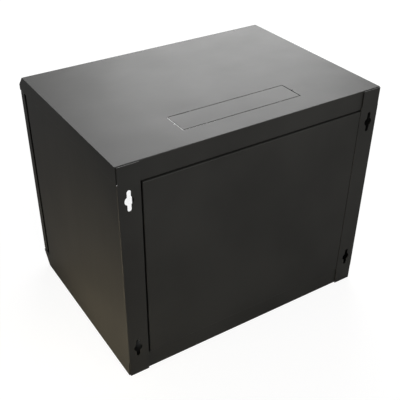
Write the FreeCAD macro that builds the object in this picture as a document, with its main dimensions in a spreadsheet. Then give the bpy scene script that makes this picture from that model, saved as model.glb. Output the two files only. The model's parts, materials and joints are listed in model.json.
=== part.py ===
"""Wall-mount network cabinet: a folded sheet-steel case on two keyholed rear columns, with a glazed door.

The frame: X runs to the right as seen from the front, Y to the wall, Z up. The origin is the centre of
the underside of the case. Each length below is in millimetres.
"""
import FreeCAD, Part
import Sketcher
import math
import os
import re

Vector = FreeCAD.Vector

SIZES = (
    ("width", 600.0, "case, over the side panels"),
    ("depth", 450.0, "case, from the front of the hoods to the wall"),
    ("height", 500.0, "case, underside to top"),
    ("steel", 1.2, "sheet of the case"),
    ("bend", 1.6, "outside radius of a fold in the case"),
    ("skirt_top", 35.5, "top cover, depth of its folded skirts"),
    ("skirt_bottom", 38.5, "bottom cover, height of its folded skirts"),
    ("slope_run", 22.5, "sloped front edge of a cover, along Y"),
    ("slope_top", 23.0, "sloped front edge of the top cover, along Z"),
    ("slope_bottom", 33.5, "sloped front edge of the bottom cover, along Z"),
    ("ledge", 40.0, "front return of a cover, above or below the door"),
    ("seam_flange", 25.0, "flange along which a cover and a side panel are bolted"),
    ("lip_recess", 3.0, "rear lip of a cover, set in from the rear columns"),
    ("lip_top", 40.5, "rear lip of the top cover, its height"),
    ("lip_bottom", 44.0, "rear lip of the bottom cover, its height"),
    ("lip_return", 14.0, "fold at the free edge of a rear lip"),
    ("lip_clearance", 0.5, "gap between a lip and the column beside it"),
    ("column", 46.0, "face width of a front or rear column"),
    ("column_end", 0.5, "a rear column stops short of the case's top and underside by this"),
    ("front_return", 20.0, "inner web of a front column"),
    ("rear_return", 36.0, "inner web of a rear column"),
    ("key_edge", 22.0, "keyhole centre to the outer edge of the column"),
    ("key_end", 72.5, "keyhole centre to the top or the underside"),
    ("key_round", 9.25, "keyhole, radius of its round middle"),
    ("key_slot", 4.2, "keyhole, half the width of its slot"),
    ("key_length", 44.0, "keyhole, end to end"),
    ("entry_length", 270.0, "cable entry knock-out, along X"),
    ("entry_width", 57.5, "cable entry knock-out, along Y"),
    ("entry_rear", 55.0, "cable entry knock-out to the rear of the case"),
    ("entry_slit", 2.0, "slit round the knock-out"),
    ("entry_bridge", 2.0, "bridge that holds the knock-out"),
    ("entry_bridge_place", 85.0, "bridge to the middle of the knock-out, along X"),
    ("entry_notch", 3.5, "prying notch at each end of the knock-out"),
    ("panel_inset", 0.6, "rear panel's face, set in from the wall plane"),
    ("panel_tray", 12.0, "folded edge of the rear panel"),
    ("panel_snug", 0.4, "rear panel to the left column"),
    ("panel_slack", 3.6, "rear panel to the right column"),
    ("panel_lift", 3.4, "rear panel to the top lip"),
    ("clip_width", 24.0, "rear panel clip, along Z"),
    ("clip_leg", 15.0, "rear panel clip, leg that holds the tray"),
    ("clip_steel", 1.5, "sheet of the rear panel clips"),
    ("clip_end", 95.0, "rear panel clip to the seam of the nearest cover"),
    ("door_steel", 1.5, "sheet of the door"),
    ("door_setback", 0.5, "door's face, set in from the front of the hoods"),
    ("door_depth", 19.5, "door, front to back"),
    ("door_gap", 12.0, "door to the front columns"),
    ("door_side", 0.5, "door to the case's side plane"),
    ("door_end", 2.2, "door to the ledge above and below it"),
    ("stile", 87.5, "door's side member beside the glass"),
    ("door_rail", 18.0, "door's member above and below the glass"),
    ("window_corner", 4.0, "corner radius of the window"),
    ("glass", 5.0, "toughened glass"),
    ("glass_lap", 12.0, "glass behind the edge of the window"),
    ("tape", 1.0, "mounting tape, thickness"),
    ("tape_width", 9.0, "mounting tape"),
    ("glass_clip", 16.0, "glass clip, along Z"),
    ("glass_clip_steel", 1.0, "sheet of the glass clips"),
    ("glass_clip_foot", 7.0, "glass clip's stud to the edge of the glass"),
    ("glass_clip_reach", 8.0, "glass clip over the glass"),
    ("glass_clip_end", 62.0, "outer glass clips to the end of the window"),
    ("glass_clip_middle", 60.0, "inner glass clips to the level of the lock"),
    ("stud", 2.0, "weld stud of the door, radius"),
    ("stud_length", 9.0, "weld stud of the door"),
    ("stud_nut_flats", 7.0, "nut of a weld stud, across flats"),
    ("stud_nut", 3.2, "nut of a weld stud, height"),
    ("pin", 3.0, "hinge pin, radius"),
    ("pin_play", 0.08, "hinge pin in its bush, radial"),
    ("pin_side", 8.0, "hinge axis to the side edge of the door"),
    ("pin_back", 10.0, "hinge axis to the back edge of the door"),
    ("pin_entry", 4.5, "top hinge pin above the underside of the hood"),
    ("pin_travel", 8.0, "top hinge pin, travel to let the door go"),
    ("pin_length", 54.0, "top hinge pin"),
    ("pin_handle", 16.0, "finger end of the top hinge pin"),
    ("pin_collar", 5.2, "collar of a hinge pin, radius"),
    ("pin_collar_height", 1.5, "collar of a hinge pin, thickness"),
    ("pin_nose", 1.0, "chamfer at the free end of a hinge pin"),
    ("bush_wall", 1.2, "nylon bush, wall of the sleeve"),
    ("bush_flange", 1.0, "nylon bush, thickness of its flange"),
    ("bush_flange_width", 2.4, "nylon bush, flange beyond the sleeve"),
    ("pin_bracket", 14.0, "bracket of the top hinge pin, along X"),
    ("pin_bracket_drop", 32.0, "bracket's foot below the top of the door"),
    ("pin_bracket_tail", 12.0, "bracket's tail behind the spring"),
    ("spring_wire", 0.45, "spring, radius of its wire"),
    ("spring_turns", 7.0, "spring, number of turns"),
    ("spring_play", 0.4, "spring to the hinge pin, radial"),
    ("low_pin_length", 10.0, "bottom hinge pin inside the door"),
    ("rivet_head", 5.0, "riveted end of the bottom hinge pin, radius"),
    ("rivet_height", 1.6, "riveted end of the bottom hinge pin"),
    ("bumper", 4.5, "rubber bumper, radius"),
    ("bumper_slack", 0.3, "bumper to the closed door"),
    ("bumper_side", 6.2, "bumper's centre to the case's side plane"),
    ("bumper_end", 55.0, "bumper's centre to the end of the column"),
    ("lock_edge", 55.0, "lock axis to the case's side plane"),
    ("lock_barrel", 9.0, "lock body, radius"),
    ("lock_face", 11.5, "lock body, radius of its face"),
    ("lock_face_height", 1.8, "lock body, face in front of the door"),
    ("lock_hole_play", 0.1, "lock body in the door, radial"),
    ("lock_nut_flats", 24.0, "lock nut, across flats"),
    ("lock_nut_height", 4.0, "lock nut"),
    ("plug", 6.0, "lock plug, radius"),
    ("plug_play", 0.06, "lock plug in the lock body, radial"),
    ("plug_proud", 0.4, "lock plug in front of the lock body"),
    ("cam", 7.5, "lock cam, half width"),
    ("cam_reach", 38.0, "lock cam, axis to the middle of its round end"),
    ("cam_steel", 2.0, "lock cam"),
    ("cam_gap", 0.8, "lock cam to the back of the front column"),
    ("cam_drive", 3.5, "square drive of the plug, half width"),
    ("cam_pass", 1.5, "slot in the column round the swing of the cam"),
    ("screw", 2.0, "cam screw, radius"),
    ("screw_head", 4.5, "cam screw's head, radius"),
    ("screw_head_height", 2.5, "cam screw's head"),
    ("screw_length", 9.0, "cam screw in the plug"),
    ("key_blade", 2.0, "key, thickness"),
    ("key_blade_width", 6.4, "key, width of the blade"),
    ("key_blade_depth", 20.0, "key, inside the plug"),
    ("key_shank", 7.0, "key, from the plug to the bow"),
    ("key_bow", 10.5, "key, radius of the bow"),
    ("key_ring", 3.0, "key, radius of the hole in the bow"),
    ("key_play", 0.1, "key in its slot"),
    ("rack_unit", 44.45, "one rack unit"),
    ("rack_edge", 7.55, "rack hole's centre to the inner edge of the rail"),
    ("rack_hole", 9.5, "square rack hole"),
    ("rack_first", 6.35, "rack unit's edge to its first hole"),
    ("rack_step", 15.875, "first to second and second to third hole"),
    ("rail_end", 5.0, "rail beyond the last rack unit"),
    ("rail_steel", 2.0, "sheet of the rails"),
    ("rail_face", 27.5, "rail's face, along X"),
    ("rail_leg", 30.0, "rail's side leg"),
    ("rail_travel", 80.0, "depth adjustment of a rail"),
    ("rail_setback", 75.0, "front rails behind the front of the case"),
    ("rail_rear", 138.0, "rear rails in front of the wall plane"),
    ("bracket_steel", 1.5, "sheet of the depth brackets"),
    ("bracket_height", 30.0, "depth bracket"),
    ("bracket_flange", 11.0, "folded edges of a depth bracket"),
    ("bracket_inset", 19.0, "depth bracket's middle to the end of the rails"),
    ("bracket_front", 1.0, "depth bracket to the inside of the front column"),
    ("bracket_relief", 2.0, "depth bracket's flanges to the columns' webs"),
    ("bolt", 3.0, "M6 bolt, radius"),
    ("bolt_flats", 10.0, "M6 bolt and nut, across flats"),
    ("bolt_head", 4.0, "M6 bolt's head above its flange"),
    ("bolt_flange", 6.2, "M6 bolt and nut, radius of the flange"),
    ("bolt_flange_height", 1.0, "M6 bolt and nut, flange"),
    ("bolt_length", 11.0, "M6 bolt, under its head"),
    ("bolt_nut", 5.0, "M6 nut, height"),
    ("bolt_play", 0.3, "M6 bolt in its hole, radial"),
    ("thread_play", 0.05, "nut round its bolt, radial"),
    ("seam_front", 45.0, "front cover bolt to the face of the front column"),
    ("seam_rear", 60.0, "rear cover bolt to the wall plane"),
    ("earth_side", 110.0, "earth stud to the case's side plane"),
    ("earth_rear", 95.0, "earth stud to the wall plane"),
    ("earth_length", 18.0, "earth stud above the bottom cover"),
)

FRONT = "(-depth / 2)"
WALL = "(depth / 2)"
SEAM_LOW = "skirt_bottom"
SEAM_HIGH = "(height - skirt_top)"
COLUMN_FACE = "(-depth / 2 + door_setback + door_depth + door_gap)"
COLUMN_EDGE = "(width / 2 - column)"
DOOR_FACE = "(-depth / 2 + door_setback)"
DOOR_SHEET = "(-depth / 2 + door_setback + door_steel)"
DOOR_BACK = "(-depth / 2 + door_setback + door_depth)"
DOOR_EDGE = "(width / 2 - door_side)"
DOOR_LOW = "(skirt_bottom + door_end)"
DOOR_HIGH = "(height - skirt_top - door_end)"
WINDOW_EDGE = "(width / 2 - door_side - stile)"
WINDOW_LOW = "(skirt_bottom + door_end + door_rail)"
WINDOW_HIGH = "(height - skirt_top - door_end - door_rail)"
HINGE_X = "(-width / 2 + door_side + pin_side)"
HINGE_Y = "(-depth / 2 + door_setback + door_depth - pin_back)"
LOCK_X = "(width / 2 - lock_edge)"
LOCK_Z = "((skirt_bottom + height - skirt_top) / 2)"
CAM_FACE = "(-depth / 2 + door_setback + door_depth + door_gap + steel + cam_gap)"
PLUG_FACE = "(-depth / 2 + door_setback - lock_face_height - plug_proud)"
PANEL_FACE = "(depth / 2 - panel_inset)"
PANEL_EDGE = "(depth / 2 - panel_inset - panel_tray)"
RAIL_UNITS = "floor((height - skirt_top - skirt_bottom - 2 * rail_end) / rack_unit)"
RAIL_LOW = f"((skirt_bottom + height - skirt_top) / 2 - {RAIL_UNITS} * rack_unit / 2 - rail_end)"
RAIL_HIGH = f"((skirt_bottom + height - skirt_top) / 2 + {RAIL_UNITS} * rack_unit / 2 + rail_end)"
BRACKET_FACE = "(width / 2 - column - bracket_steel)"
RAIL_SIDE = "(width / 2 - column - bracket_steel - rail_steel)"
BRACKET_LEVELS = {"lower": f"({RAIL_LOW} + bracket_inset)", "upper": f"({RAIL_HIGH} - bracket_inset)"}
BRACKET_ENDS = (f"({COLUMN_FACE} + steel + bracket_front)", f"({PANEL_EDGE} - bracket_front)")
BRACKET_BOLTS = (f"({COLUMN_FACE} + front_return / 2)", f"({WALL} - rear_return + front_return / 2)")
CLIP_LEG = f"({PANEL_EDGE} - {WALL} + rear_return - bracket_front)"
CLIP_BOLT_Y = f"({PANEL_EDGE} - {CLIP_LEG} / 2)"
CLIP_LEVELS = (f"({SEAM_LOW} + clip_end)", f"({SEAM_HIGH} - clip_end)")
RAIL_FACES = {"front": (-1, f"({FRONT} + rail_setback)"), "rear": (1, f"({WALL} - rail_rear)")}
RAIL_BOLT_Y = {"front": f"({FRONT} + rail_setback + rail_leg / 2 + rail_steel / 2)",
               "rear": f"({WALL} - rail_rear - rail_leg / 2 - rail_steel / 2)"}
RAIL_SLOTS = ((RAIL_BOLT_Y["front"], f"({RAIL_BOLT_Y['front']} + rail_travel)"),
              (f"({RAIL_BOLT_Y['rear']} - rail_travel)", RAIL_BOLT_Y["rear"]))
BOLT_HOLE = "(bolt + bolt_play)"
SIDES = {"left": -1, "right": 1}

doc = FreeCAD.newDocument("wall_cabinet")
sizes = doc.addObject("Spreadsheet::Sheet", "sizes")
NAMES = {name for name, value, note in SIZES}
parts = []


def fill_sheet():
    """One row to a size: its name, its value and what it measures."""
    for row, (name, value, note) in enumerate(SIZES, start=1):
        sizes.set(f"A{row}", name)
        sizes.set(f"B{row}", str(value))
        sizes.set(f"C{row}", note)
        sizes.setAlias(f"B{row}", name)
    doc.recompute()


def bind(text):
    """The expression with each size's name pointed at its cell."""
    def point(match):
        word = match.group(0)
        return f"sizes.{word}" if word in NAMES else word
    return re.sub(r"[a-z_][a-z_0-9]*", point, str(text))


def number(text):
    """The value that an expression has now."""
    return float(sizes.evalExpression(bind(text)))


def signed(sign, text):
    """The expression, mirrored to the left side where the sign is negative."""
    return text if sign > 0 else f"(-({text}))"


def keep(item, label):
    """Name a finished sub-part and list it for writing."""
    item.Label = label
    parts.append(item)
    return item


# Bodies made of sketches: each corner and centre is held by its distance from the origin.

def new_body(label):
    return keep(doc.addObject("PartDesign::Body", label), label)


def new_sketch(body, role, level):
    """A sketch parallel to an origin plane, at a level along the axis that the plane faces."""
    sketch = body.newObject("Sketcher::SketchObject", "outline")
    plane = next(item for item in body.Origin.OriginFeatures if item.Role == role)
    sketch.AttachmentSupport = (plane, [""])
    sketch.MapMode = "FlatFace"
    facing = "-1" if role == "XZ_Plane" else "1"
    sketch.setExpression("AttachmentOffset.Base.z", bind(f"{facing} * ({level})"))
    return sketch


def hold_point(sketch, geometry, place, point):
    """Bind one point of the sketch to its two expressions."""
    for kind, text in zip(("DistanceX", "DistanceY"), point):
        row = sketch.addConstraint(Sketcher.Constraint(kind, -1, 1, geometry, place, number(text)))
        sketch.setExpression(f"Constraints[{row}]", bind(text))


def draw_polygon(sketch, points):
    """A closed outline through the points, each a pair of expressions."""
    corners = [Vector(number(a), number(b), 0) for a, b in points]
    first = sketch.GeometryCount
    for index, corner in enumerate(corners):
        sketch.addGeometry(Part.LineSegment(corner, corners[(index + 1) % len(corners)]), False)
    for index, point in enumerate(points):
        following = first + (index + 1) % len(points)
        sketch.addConstraint(Sketcher.Constraint("Coincident", first + index, 2, following, 1))
        hold_point(sketch, first + index, 1, point)


def draw_rectangle(sketch, a0, a1, b0, b1):
    draw_polygon(sketch, [(a0, b0), (a1, b0), (a1, b1), (a0, b1)])


def draw_circle(sketch, centre, radius):
    middle = Vector(number(centre[0]), number(centre[1]), 0)
    index = sketch.addGeometry(Part.Circle(middle, Vector(0, 0, 1), number(radius)), False)
    hold_point(sketch, index, 3, centre)
    row = sketch.addConstraint(Sketcher.Constraint("Radius", index, number(radius)))
    sketch.setExpression(f"Constraints[{row}]", bind(radius))


def draw_slot(sketch, start, end, radius):
    """A slot with round ends, from one centre to the other."""
    a = Vector(number(start[0]), number(start[1]), 0)
    b = Vector(number(end[0]), number(end[1]), 0)
    r = number(radius)
    angle = math.atan2(b.y - a.y, b.x - a.x)
    side = Vector(-math.sin(angle), math.cos(angle), 0) * r
    up = Vector(0, 0, 1)
    quarter = math.pi / 2
    near, far = Part.Circle(a, up, r), Part.Circle(b, up, r)
    left = sketch.addGeometry(Part.ArcOfCircle(near, angle + quarter, angle + 3 * quarter), False)
    right = sketch.addGeometry(Part.ArcOfCircle(far, angle - quarter, angle + quarter), False)
    low = sketch.addGeometry(Part.LineSegment(a - side, b - side), False)
    high = sketch.addGeometry(Part.LineSegment(b + side, a + side), False)
    for one, two in ((left, low), (low, right), (right, high), (high, left)):
        sketch.addConstraint(Sketcher.Constraint("Tangent", one, 2, two, 1))
    hold_point(sketch, left, 3, start)
    hold_point(sketch, right, 3, end)
    row = sketch.addConstraint(Sketcher.Constraint("Radius", left, r))
    sketch.setExpression(f"Constraints[{row}]", bind(radius))


def extrude(body, sketch, kind, low, high):
    """Pad or pocket the sketch between two levels along the axis that its plane faces."""
    feature = body.newObject(f"PartDesign::{kind}", kind.lower())
    feature.Profile = sketch
    feature.setExpression("Length", bind(f"({high}) - ({low})"))
    feature.Reversed = kind == "Pocket"
    before = body.Shape.Volume if kind == "Pocket" else None
    doc.recompute()
    if before is not None and body.Shape.Volume >= before:
        raise RuntimeError(f"{body.Label}: a pocket cut nothing")
    sketch.Visibility = False
    return feature


def level_of(role, low, high):
    """Where the sketch lies so that its extrusion fills the span from low to high."""
    return high if role == "XZ_Plane" else low


def add_prism(body, role, points, low, high, kind="Pad"):
    """A polygon on an origin plane, filled or cut from low to high."""
    sketch = new_sketch(body, role, level_of(role, low, high))
    draw_polygon(sketch, points)
    return extrude(body, sketch, kind, low, high)


def add_box(body, x0, x1, y0, y1, z0, z1, kind="Pad"):
    return add_prism(body, "XY_Plane", [(x0, y0), (x1, y0), (x1, y1), (x0, y1)], z0, z1, kind)


def cut_box(body, x0, x1, y0, y1, z0, z1):
    return add_box(body, x0, x1, y0, y1, z0, z1, "Pocket")


def cut_circles(body, role, centres, radius, low, high):
    sketch = new_sketch(body, role, level_of(role, low, high))
    for centre in centres:
        draw_circle(sketch, centre, radius)
    return extrude(body, sketch, "Pocket", low, high)


def cut_slots(body, role, spans, radius, low, high):
    sketch = new_sketch(body, role, level_of(role, low, high))
    for start, end in spans:
        draw_slot(sketch, start, end, radius)
    return extrude(body, sketch, "Pocket", low, high)


def round_edges(body, axis, corners, radius):
    """Fillet the straight edges that run along the axis through the corners."""
    doc.recompute()
    others = [index for index in range(3) if index != "XYZ".index(axis)]
    wanted = [tuple(number(text) for text in corner) for corner in corners]
    names = []
    for index, edge in enumerate(body.Tip.Shape.Edges, start=1):
        start, end = edge.firstVertex().Point, edge.lastVertex().Point
        ends = [(point[others[0]], point[others[1]]) for point in (start, end)]
        if math.dist(*ends) < 1e-6 and any(math.dist(ends[0], corner) < 1e-4 for corner in wanted):
            names.append(f"Edge{index}")
    if not names:
        raise RuntimeError(f"{body.Label}: no edge to round")
    base = body.Tip
    fillet = body.newObject("PartDesign::Fillet", "fold")
    fillet.Base = (base, names)
    fillet.setExpression("Radius", bind(radius))
    doc.recompute()
    return fillet


# Hardware made of primitives: built about Z at the origin, then linked to each place.

def cylinder(radius, height, at=("0", "0", "0")):
    item = doc.addObject("Part::Cylinder", "cylinder")
    item.setExpression("Radius", bind(radius))
    item.setExpression("Height", bind(height))
    return move(item, at)


def hexagon(flats, height, at=("0", "0", "0")):
    item = doc.addObject("Part::Prism", "hexagon")
    item.Polygon = 6
    item.setExpression("Circumradius", bind(f"({flats}) / 2 / cos(30 deg)"))
    item.setExpression("Height", bind(height))
    return move(item, at)


def box(size, at):
    item = doc.addObject("Part::Box", "box")
    for name, text in zip(("Length", "Width", "Height"), size):
        item.setExpression(name, bind(text))
    return move(item, at)


def cone(low, high, height, at):
    item = doc.addObject("Part::Cone", "cone")
    item.setExpression("Radius1", bind(low))
    item.setExpression("Radius2", bind(high))
    item.setExpression("Height", bind(height))
    return move(item, at)


def move(item, at):
    for axis, text in zip("xyz", at):
        item.setExpression(f"Placement.Base.{axis}", bind(text))
    return item


def turn(item, rotation, at):
    item.Placement = FreeCAD.Placement(Vector(0, 0, 0), rotation)
    return move(item, at)


def fuse(*items):
    result = doc.addObject("Part::MultiFuse", "fuse")
    result.Shapes = list(items)
    return result


def cut(base, tool):
    result = doc.addObject("Part::Cut", "cut")
    result.Base = base
    result.Tool = tool
    return result


def group(label, model, places):
    """Copies of one model as separate solids in one sub-part; a place is a point and where +Z faces."""
    links = []
    for at, rotation in places:
        link = doc.addObject("App::Link", "copy")
        link.LinkedObject = model
        link.Placement = FreeCAD.Placement(Vector(0, 0, 0), rotation)
        links.append(move(link, at))
    compound = doc.addObject("Part::Compound", label)
    compound.Links = links
    return keep(compound, label)


def facing(*direction):
    return FreeCAD.Rotation(Vector(0, 0, 1), Vector(*direction))


HALF_TURN = FreeCAD.Rotation(Vector(0, 1, 0), 180)
NO_TURN = FreeCAD.Rotation()


# The case.

def cover(label, side):
    """A shallow tray with skirts on all sides, returned inwards, a sloped front edge and a rear lip.

    The side is "top" or "bottom"; up() measures inwards from the outer face of the cover.
    """
    def up(text):
        return f"(height - ({text}))" if side == "top" else f"({text})"

    def span(low, high):
        return (up(high), up(low)) if side == "top" else (up(low), up(high))

    skirt, slope, lip = f"skirt_{side}", f"slope_{side}", f"lip_{side}"
    rear = "(depth / 2 - lip_recess)"
    rear_inside = "(depth / 2 - lip_recess - steel)"
    slope_start = "(-depth / 2 + slope_run)"
    lip_edge = f"({COLUMN_EDGE} - lip_clearance)"
    body = new_body(label)
    folds = [(rear, up("0")), (slope_start, up("0")), (FRONT, up(slope)), (FRONT, up(skirt))]
    add_prism(body, "YZ_Plane", folds + [(rear, up(skirt))], "-width / 2", "width / 2")
    lean = f"steel * (sqrt(slope_run ^ 2 + {slope} ^ 2) - slope_run) / {slope}"
    rise = f"steel * (sqrt(slope_run ^ 2 + {slope} ^ 2) - {slope}) / slope_run"
    front_inside = f"({FRONT} + steel)"
    inside = [(rear_inside, up("steel")), (f"({slope_start} + {rise})", up("steel")),
              (front_inside, up(f"{slope} + {lean}")), (front_inside, up(f"{skirt} - steel")),
              (rear_inside, up(f"{skirt} - steel"))]
    add_prism(body, "YZ_Plane", inside, "-width / 2 + steel", "width / 2 - steel", "Pocket")
    mouth = "(width / 2 - seam_flange)"
    cut_box(body, f"-{mouth}", mouth, f"{FRONT} + ledge", rear_inside, *span(f"{skirt} - steel", skirt))
    fold = f"({rear} - lip_return)"
    lip_inside, skirt_inside = up(f"{lip} - steel"), up(f"{skirt} - steel")
    lip_profile = [(rear, skirt_inside), (rear, up(lip)), (fold, up(lip)), (fold, lip_inside),
                   (rear_inside, lip_inside), (rear_inside, skirt_inside)]
    add_prism(body, "YZ_Plane", lip_profile, f"-{lip_edge}", lip_edge)
    cut_knock_out(body, *span("0", "steel"))
    hinge_hole = "(pin + pin_play + bush_wall)" if side == "top" else "pin"
    cut_circles(body, "XY_Plane", [(HINGE_X, HINGE_Y)], hinge_hole, *span(f"{skirt} - steel", skirt))
    cut_circles(body, "XY_Plane", seam_bolt_places(), BOLT_HOLE, *span(f"{skirt} - steel", skirt))
    round_edges(body, "X", folds, "bend")
    return body


def cut_knock_out(body, low, high):
    """The slit round the cable entry, crossed by two bridges on each long side."""
    middle = "(depth / 2 - entry_rear - entry_width / 2)"
    edge = {"near": "(depth / 2 - entry_rear)", "far": "(depth / 2 - entry_rear - entry_width)"}
    outer, inner = "(entry_bridge_place + entry_bridge / 2)", "(entry_bridge_place - entry_bridge / 2)"
    x0, x1 = "(entry_length / 2 - entry_slit / 2)", "(entry_length / 2 + entry_slit / 2)"
    x2 = "(entry_length / 2 + entry_slit / 2 + entry_notch)"
    near_in, near_out = f"({edge['near']} - entry_slit / 2)", f"({edge['near']} + entry_slit / 2)"
    far_in, far_out = f"({edge['far']} + entry_slit / 2)", f"({edge['far']} - entry_slit / 2)"
    notch_near, notch_far = f"({middle} + entry_notch / 2)", f"({middle} - entry_notch / 2)"
    end_slit = [(outer, near_out), (x1, near_out), (x1, notch_near), (x2, notch_near), (x2, notch_far),
                (x1, notch_far), (x1, far_out), (outer, far_out), (outer, far_in), (x0, far_in),
                (x0, near_in), (outer, near_in)]
    sketch = new_sketch(body, "XY_Plane", low)
    for sign in SIDES.values():
        draw_polygon(sketch, [(signed(sign, x), y) for x, y in end_slit])
    draw_rectangle(sketch, f"-{inner}", inner, near_in, near_out)
    draw_rectangle(sketch, f"-{inner}", inner, far_out, far_in)
    extrude(body, sketch, "Pocket", low, high)


def seam_bolt_places(signs=(-1, 1)):
    """The bolts that join a cover to the side panels, as seen from above."""
    lines = (f"({COLUMN_FACE} + seam_front)", f"({COLUMN_FACE} + seam_front + {WALL} - seam_rear) / 2",
             f"({WALL} - seam_rear)")
    return [(signed(sign, "width / 2 - seam_flange / 2"), y) for sign in signs for y in lines]


def side_panel(label, sign):
    """A folded sheet: the side wall, the front column, and the rear column with its two keyholes."""
    def x(text):
        return signed(sign, text)

    body = new_body(label)
    web, wall = f"({COLUMN_EDGE} + steel)", "(width / 2 - steel)"
    rear_sheet, rear_fold = f"({WALL} - steel)", f"({WALL} - rear_return)"
    front_sheet, front_fold = f"({COLUMN_FACE} + steel)", f"({COLUMN_FACE} + front_return)"
    profile = [("width / 2", WALL), (COLUMN_EDGE, WALL), (COLUMN_EDGE, rear_fold), (web, rear_fold),
               (web, rear_sheet), (wall, rear_sheet), (wall, front_sheet), (web, front_sheet),
               (web, front_fold), (COLUMN_EDGE, front_fold), (COLUMN_EDGE, COLUMN_FACE),
               ("width / 2", COLUMN_FACE)]
    add_prism(body, "XY_Plane", [(x(a), b) for a, b in profile], SEAM_LOW, SEAM_HIGH)
    round_edges(body, "Z", [(x("width / 2"), WALL), (x(COLUMN_EDGE), WALL), (x(COLUMN_EDGE), COLUMN_FACE),
                            (x("width / 2"), COLUMN_FACE)], "bend")
    for low, high in ((SEAM_LOW, f"{SEAM_LOW} + steel"), (f"{SEAM_HIGH} - steel", SEAM_HIGH)):
        breadth = (x("width / 2 - seam_flange"), x("width / 2 - steel / 2"))
        add_box(body, *breadth, front_fold, rear_fold, low, high)
    cut_circles(body, "XY_Plane", seam_bolt_places([sign]), BOLT_HOLE, SEAM_LOW, SEAM_HIGH)
    for low, high in (("column_end", f"{SEAM_LOW} + steel"), (f"{SEAM_HIGH} - steel", "height - column_end")):
        add_box(body, x(f"{COLUMN_EDGE} + bend"), x("width / 2 - bend"), rear_sheet, WALL, low, high)
    clip_holes = [(CLIP_BOLT_Y, z) for z in CLIP_LEVELS]
    bracket_holes = [(y, z) for y in BRACKET_BOLTS for z in BRACKET_LEVELS.values()]
    web_low, web_high = sorted((x(COLUMN_EDGE), x(web)), key=number)
    cut_circles(body, "YZ_Plane", clip_holes + bracket_holes, BOLT_HOLE, web_low, web_high)
    if label == "right_side_panel":
        swing = "(cam_reach + cam + cam_pass)"
        cut_box(body, COLUMN_EDGE, web, front_sheet, f"{CAM_FACE} + cam_steel + cam_pass",
                f"{LOCK_Z} - {swing}", f"{LOCK_Z} + cam + cam_pass")
    centres = ("key_end", "(height - key_end)")
    key_x = x("(width / 2 - key_edge)")
    cut_circles(body, "XZ_Plane", [(key_x, z) for z in centres], "key_round", rear_sheet, WALL)
    reach = "(key_length / 2 - key_slot)"
    spans = [((key_x, f"{z} - {reach}"), (key_x, f"{z} + {reach}")) for z in centres]
    cut_slots(body, "XZ_Plane", spans, "key_slot", rear_sheet, WALL)
    return body


def rear_panel():
    """A tray between the rear columns that stands on the bottom lip."""
    body = new_body("rear_panel")
    left, right = f"-({COLUMN_EDGE} - panel_snug)", f"({COLUMN_EDGE} - panel_slack)"
    low, high = "lip_bottom", "(height - lip_top - panel_lift)"
    add_box(body, left, right, PANEL_EDGE, PANEL_FACE, low, high)
    corners = [(x, PANEL_FACE) for x in (left, right)]
    round_edges(body, "Z", corners, "bend")
    round_edges(body, "X", [(PANEL_FACE, z) for z in (low, high)], "bend")
    cut_box(body, f"{left} + steel", f"{right} - steel", PANEL_EDGE, f"{PANEL_FACE} - steel",
            f"{low} + steel", f"{high} - steel")
    return body


def rear_panel_clips():
    """Angle clips on the rear columns' webs that press the edges of the rear panel to the rear."""
    clip = doc.addObject("PartDesign::Body", "clip_model")
    t, leg = "clip_steel", CLIP_LEG
    profile = [("0", "0"), ("0", f"-{leg}"), (f"-{t}", f"-{leg}"), (f"-{t}", f"-{t}"), ("-clip_leg", f"-{t}"),
               ("-clip_leg", "0")]
    add_prism(clip, "XY_Plane", profile, "-clip_width / 2", "clip_width / 2")
    cut_circles(clip, "YZ_Plane", [(f"-{leg} / 2", "0")], BOLT_HOLE, f"-{t}", "0")
    places = [((signed(sign, COLUMN_EDGE), PANEL_EDGE, z), NO_TURN if sign > 0 else HALF_TURN)
              for sign in SIDES.values() for z in CLIP_LEVELS]
    group("rear_panel_clips", clip, places)
    across = [(sign, CLIP_BOLT_Y, z) for sign in SIDES.values() for z in CLIP_LEVELS]
    web_bolts("rear_panel_clip", across, "clip_steel")


# The 19-inch rails and the brackets that carry them.

def depth_bracket(label, sign, level):
    """A channel from the front column's web to the rear column's, slotted for the rails' bolts."""
    def x(text):
        return signed(sign, text)

    def across(low, high):
        return (x(low), x(high)) if sign > 0 else (x(high), x(low))

    body = new_body(label)
    start, end = BRACKET_ENDS
    top, bottom = f"({level} + bracket_height / 2)", f"({level} - bracket_height / 2)"
    face, back = BRACKET_FACE, COLUMN_EDGE
    add_box(body, *across(face, back), start, end, bottom, top)
    flange_start = f"({COLUMN_FACE} + front_return + bracket_relief)"
    flange_end = f"({WALL} - rear_return - bracket_relief)"
    for low, high in ((bottom, f"{bottom} + bracket_steel"), (f"{top} - bracket_steel", top)):
        breadth = across(f"{face} + bracket_steel / 2", f"{back} + bracket_flange")
        add_box(body, *breadth, flange_start, flange_end, low, high)
    cut_circles(body, "YZ_Plane", [(y, level) for y in BRACKET_BOLTS], BOLT_HOLE, *across(face, back))
    for near, far in RAIL_SLOTS:
        cut_slots(body, "YZ_Plane", [((near, level), (far, level))], BOLT_HOLE, *across(face, back))
    return body


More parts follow.
